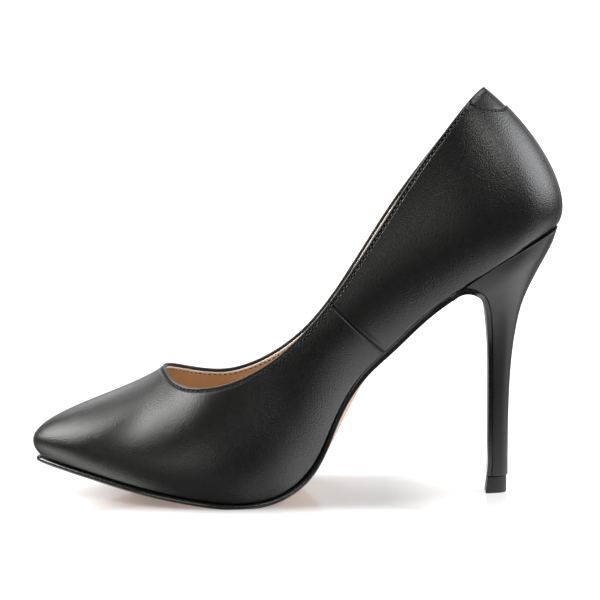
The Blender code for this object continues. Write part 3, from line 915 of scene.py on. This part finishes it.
def pebbled_leather(name, grain_depth):
    """Black leather with a fine pebbled grain, a little uneven in sheen."""
    finish = new_finish(name)
    place = finish.places()
    wander = finish.node("ShaderNodeTexNoise", inputs={"Vector": place, "Scale": 700.0}, output="Color")
    shifted = finish.node(
        "ShaderNodeVectorMath",
        {"operation": "MULTIPLY_ADD"},
        {0: wander, 1: (0.0004, 0.0004, 0.0004), 2: place},
    )
    pebbles = finish.node(
        "ShaderNodeTexVoronoi",
        {"feature": "SMOOTH_F1"},
        {"Vector": shifted, "Scale": 1550.0, "Smoothness": 0.3, "Randomness": 0.8},
        "Distance",
    )
    sheen = finish.noise(260.0, 4.0, 0.6)
    height = finish.noise(2600.0, 2.0) * 0.25 - pebbles
    return finish.surface(
        base_color=finish.mix(sheen, (0.0030, 0.0028, 0.0027), (0.0060, 0.0056, 0.0053)),
        roughness=0.275 + 0.06 * sheen,
        specular_ior_level=0.5,
        normal=finish.bump(height, grain_depth),
    )


def tan_lining(name, light, dark):
    """Smooth lining leather with faint pores and clouding."""
    finish = new_finish(name)
    clouds = finish.noise(60.0, 4.0, 0.6)
    pores = finish.noise(2600.0, 2.0)
    return finish.surface(
        base_color=finish.mix(clouds, dark, light),
        roughness=0.52 + 0.12 * pores,
        normal=finish.bump(pores + 0.6 * clouds, 0.00004),
    )


def cut_edge():
    """Pale fibres where the lining is trimmed."""
    finish = new_finish("cut lining edge")
    fibres = finish.noise(3000.0, 3.0, 0.7)
    return finish.surface(
        base_color=finish.mix(fibres, (0.92, 0.87, 0.82), (0.97, 0.95, 0.92)),
        roughness=0.7 + 0.15 * fibres,
        normal=finish.bump(fibres, 0.00006),
    )


def thread(name, light, dark):
    """Twisted thread with a waxed shine."""
    finish = new_finish(name)
    ply = finish.noise(5200.0, 2.0)
    return finish.surface(
        base_color=finish.mix(ply, dark, light),
        roughness=0.10 + 0.14 * ply,
        normal=finish.bump(ply, 0.00005),
    )


def sole_edge_ink(name, wave, coat):
    """Black ink over the sole's trimmed edge, glossy where it has a coat."""
    finish = new_finish(name)
    ripple = finish.noise(420.0, 3.0, 0.6)
    streak = finish.noise(1800.0, 2.0)
    return finish.surface(
        base_color=finish.mix(ripple, (0.004, 0.004, 0.004), (0.009, 0.009, 0.009)),
        roughness=0.10 + 0.14 * streak,
        coat_weight=coat,
        coat_roughness=0.08,
        normal=finish.bump(ripple + 0.4 * streak, wave),
    )


def heel_satin():
    """Smooth satin covering of the heel."""
    finish = new_finish("heel satin")
    clouds = finish.noise(150.0, 3.0)
    fine = finish.noise(2400.0, 2.0)
    return finish.surface(
        base_color=finish.mix(clouds, (0.006, 0.006, 0.006), (0.010, 0.0097, 0.0094)),
        roughness=0.28 + 0.10 * fine,
        specular_ior_level=0.4,
        normal=finish.bump(fine + 0.5 * clouds, 0.00003),
    )


def rubber():
    """Dull black rubber, faintly speckled."""
    finish = new_finish("top piece rubber")
    speck = finish.noise(1500.0, 4.0, 0.7)
    return finish.surface(
        base_color=finish.mix(speck, (0.007, 0.007, 0.008), (0.014, 0.014, 0.015)),
        roughness=0.42 + 0.2 * speck,
        specular_ior_level=0.35,
        normal=finish.bump(speck, 0.00005),
    )


def sole_leather():
    """Pale underside of the sole."""
    finish = new_finish("sole underside")
    fibres = finish.noise(900.0, 5.0, 0.7)
    clouds = finish.noise(70.0, 3.0)
    return finish.surface(
        base_color=finish.mix(clouds, (0.60, 0.37, 0.25), (0.70, 0.47, 0.34)),
        roughness=0.42 + 0.2 * fibres,
        normal=finish.bump(fibres, 0.00004),
    )


# Studio

CAMERA_AIM = Vector((0.00086, 0.0, 0.084))
CAMERA_DISTANCE, CAMERA_RISE = 1.3, math.radians(9.0)
CAMERA_LENS = 181.4
FLOOR_GLOW, FLOOR_MIRROR = 0.40, 0.32
FLOOR_WHITE = (0.46, 0.46, 0.46)
# painted shade: the floor's glow is lowered by this much under the forefoot, for the camera only
PAINTED_FLOOR_SHADE = 0.22  # light taken from what the camera sees of the floor under the forefoot
# middle of a painted patch of light: the floor's glow is brightest round here in the shoe's reflections
PAINTED_POOL_MIDDLE = (0.13, -0.03, 0.0)  # where the floor throws most light up at the shoe


def make_camera():
    data = bpy.data.cameras.new("camera")
    data.lens, data.sensor_width = CAMERA_LENS, 36.0
    camera = bpy.data.objects.new("camera", data)
    back = Vector((0.0, -math.cos(CAMERA_RISE), math.sin(CAMERA_RISE)))
    camera.location = CAMERA_AIM + CAMERA_DISTANCE * back
    camera.rotation_euler = (-back).to_track_quat("-Z", "Y").to_euler()
    bpy.context.scene.collection.objects.link(camera)
    bpy.context.scene.camera = camera


# Soft boxes round the shoe. turn is counted from the camera's side, towards the heel, and rise from the
# floor, both in degrees; width, height and distance are in metres.
SoftBox = namedtuple("SoftBox", "name turn rise distance width height power colour")
SOFT_BOXES = (
    SoftBox("toe side", -89.0, 33.0, 1.1, 0.68, 0.82, 18.5, (1.0, 1.0, 0.98)),
    SoftBox("heel side", 89.0, 26.0, 1.1, 1.05, 0.74, 15.0, (0.97, 0.98, 1.0)),
    SoftBox("front", 33.0, 35.0, 1.3, 0.26, 0.62, 3.8, (1.0, 0.98, 0.96)),
    SoftBox("front fill", -22.0, 1.0, 1.2, 0.80, 0.36, 1.8, (1.0, 0.98, 0.96)),
    SoftBox("back", -156.0, 35.0, 1.2, 0.4, 0.36, 2.4, (1.0, 1.0, 1.0)),
    SoftBox("overhead", 180.0, 80.0, 1.5, 1.1, 0.8, 18.0, (1.0, 1.0, 1.0)),
)


def make_lights():
    for box in SOFT_BOXES:
        data = bpy.data.lights.new(box.name, "AREA")
        data.shape, data.size, data.size_y = "RECTANGLE", box.width, box.height
        data.energy, data.color = box.power, box.colour
        light = bpy.data.objects.new(box.name, data)
        turn, rise = math.radians(box.turn), math.radians(box.rise)
        towards = Vector((math.sin(turn) * math.cos(rise), -math.cos(turn) * math.cos(rise), math.sin(rise)))
        light.location = CAMERA_AIM + box.distance * towards
        light.rotation_euler = (-towards).to_track_quat("-Z", "Y").to_euler()
        light.visible_camera = False
        bpy.context.scene.collection.objects.link(light)


def make_world():
    """White to the camera. To the shoe it is bright behind and dim on the camera's side."""
    world = bpy.data.worlds.new("studio")
    bpy.context.scene.world = world
    finish = Finish(world)
    direction = finish.node("ShaderNodeTexCoord", output="Generated")
    glow = finish.ramp(finish.axis(direction, "Y"), 0.55, 0.95, 0.09, 0.9)
    seen = finish.node("ShaderNodeLightPath", output="Is Camera Ray")
    background = finish.tree.nodes["Background"]
    finish.feed(background.inputs["Strength"], seen * 1.2 + (1.0 - seen) * glow)
    background.inputs["Color"].default_value = (1.0, 1.0, 1.0, 1.0)


def white_floor():
    """White sheet with a faint mirror and a glow that carries painted light and shade.

    To the camera the glow is painted darker close under the forefoot, a painted shadow. In the shoe's own
    reflections the floor's glow and colour are painted bright in a patch by the heel, and painted dimmer
    towards the camera's side.
    """
    finish = new_finish("white floor")
    place = finish.places()
    x, y = finish.axis(place, "X"), finish.axis(place, "Y")
    # painted light and shade in the shoe's reflections: the floor's glow and colour dim towards the camera's
    # side and brighten in a patch by the heel
    near = finish.ramp(y, -0.12, -0.06, 0.08, 1.0)
    from_pool = finish.node("ShaderNodeVectorMath", {"operation": "DISTANCE"}, {0: place, 1: PAINTED_POOL_MIDDLE}, "Value")
    pool = finish.ramp(from_pool, 0.03, 0.15, 4.0, 0.25)
    seen = finish.node("ShaderNodeLightPath", output="Is Camera Ray")
    glossy = finish.node("ShaderNodeLightPath", output="Is Glossy Ray")
    level = 1.0 - glossy + glossy * near * pool
    away = finish.node("ShaderNodeVectorMath", {"operation": "LENGTH"}, {0: place}, "Value")
    far = finish.ramp(away, 0.2, 0.7, 0.0, 1.0)
    # painted shade for the camera: the glow drops close under the forefoot and is full beside and beyond the
    # shoe
    beside = finish.ramp(abs(y), 0.025, 0.05, 0.0, 0.6)
    ends = finish.ramp(abs(x + 0.015), 0.05, 0.09, 0.0, 0.6)
    clear = finish.node("ShaderNodeMath", {"operation": "MAXIMUM"}, {0: beside, 1: ends})
    # the floor's diffuse colour carries the same painted light and shade in the shoe's reflections
    white = finish.mix(level, (0.0, 0.0, 0.0), FLOOR_WHITE)
    matt = finish.node("ShaderNodeBsdfDiffuse", inputs={"Color": white})
    strength = level * FLOOR_GLOW + seen * (far + clear - PAINTED_FLOOR_SHADE)
    glow = finish.node("ShaderNodeEmission", inputs={"Strength": strength})
    lit = finish.node("ShaderNodeAddShader", inputs={0: matt, 1: glow})
    mirror = finish.node("ShaderNodeBsdfGlossy", inputs={"Roughness": 0.08})
    both = finish.node("ShaderNodeMixShader", inputs={0: FLOOR_MIRROR, 1: lit, 2: mirror})
    finish.feed(finish.tree.nodes["Material Output"].inputs["Surface"], both)
    return finish.owner


def make_floor():
    ground = bmesh.new()
    bmesh.ops.create_grid(ground, x_segments=1, y_segments=1, size=8.0)
    mesh = bpy.data.meshes.new("floor")
    ground.to_mesh(mesh)
    ground.free()
    mesh.materials.append(white_floor())
    floor = bpy.data.objects.new("floor", mesh)
    bpy.context.scene.collection.objects.link(floor)


def main():
    bpy.context.scene.view_settings.view_transform = "Standard"
    make_camera()
    make_lights()
    make_world()
    make_floor()
    make_upper(pebbled_leather("pebbled leather", 0.00009))
    make_heel_tab(pebbled_leather("tab leather", 0.00006))
    make_lining(tan_lining("tan lining", (0.63, 0.44, 0.28), (0.53, 0.35, 0.21)))
    make_lining_edge(cut_edge())
    make_insole(tan_lining("tan sock", (0.62, 0.43, 0.26), (0.52, 0.35, 0.20)))
    make_outsole(
        sole_edge_ink("sole edge ink", 0.00022, 0.7),
        sole_leather(),
        sole_edge_ink("flap ink", 0.00004, 0.0),
    )
    make_heel(heel_satin())
    make_top_piece(rubber())
    make_all_stitches(
        thread("black thread", (0.025, 0.024, 0.024), (0.008, 0.008, 0.008)),
        thread("brown thread", (0.060, 0.030, 0.015), (0.030, 0.014, 0.007)),
    )


main()
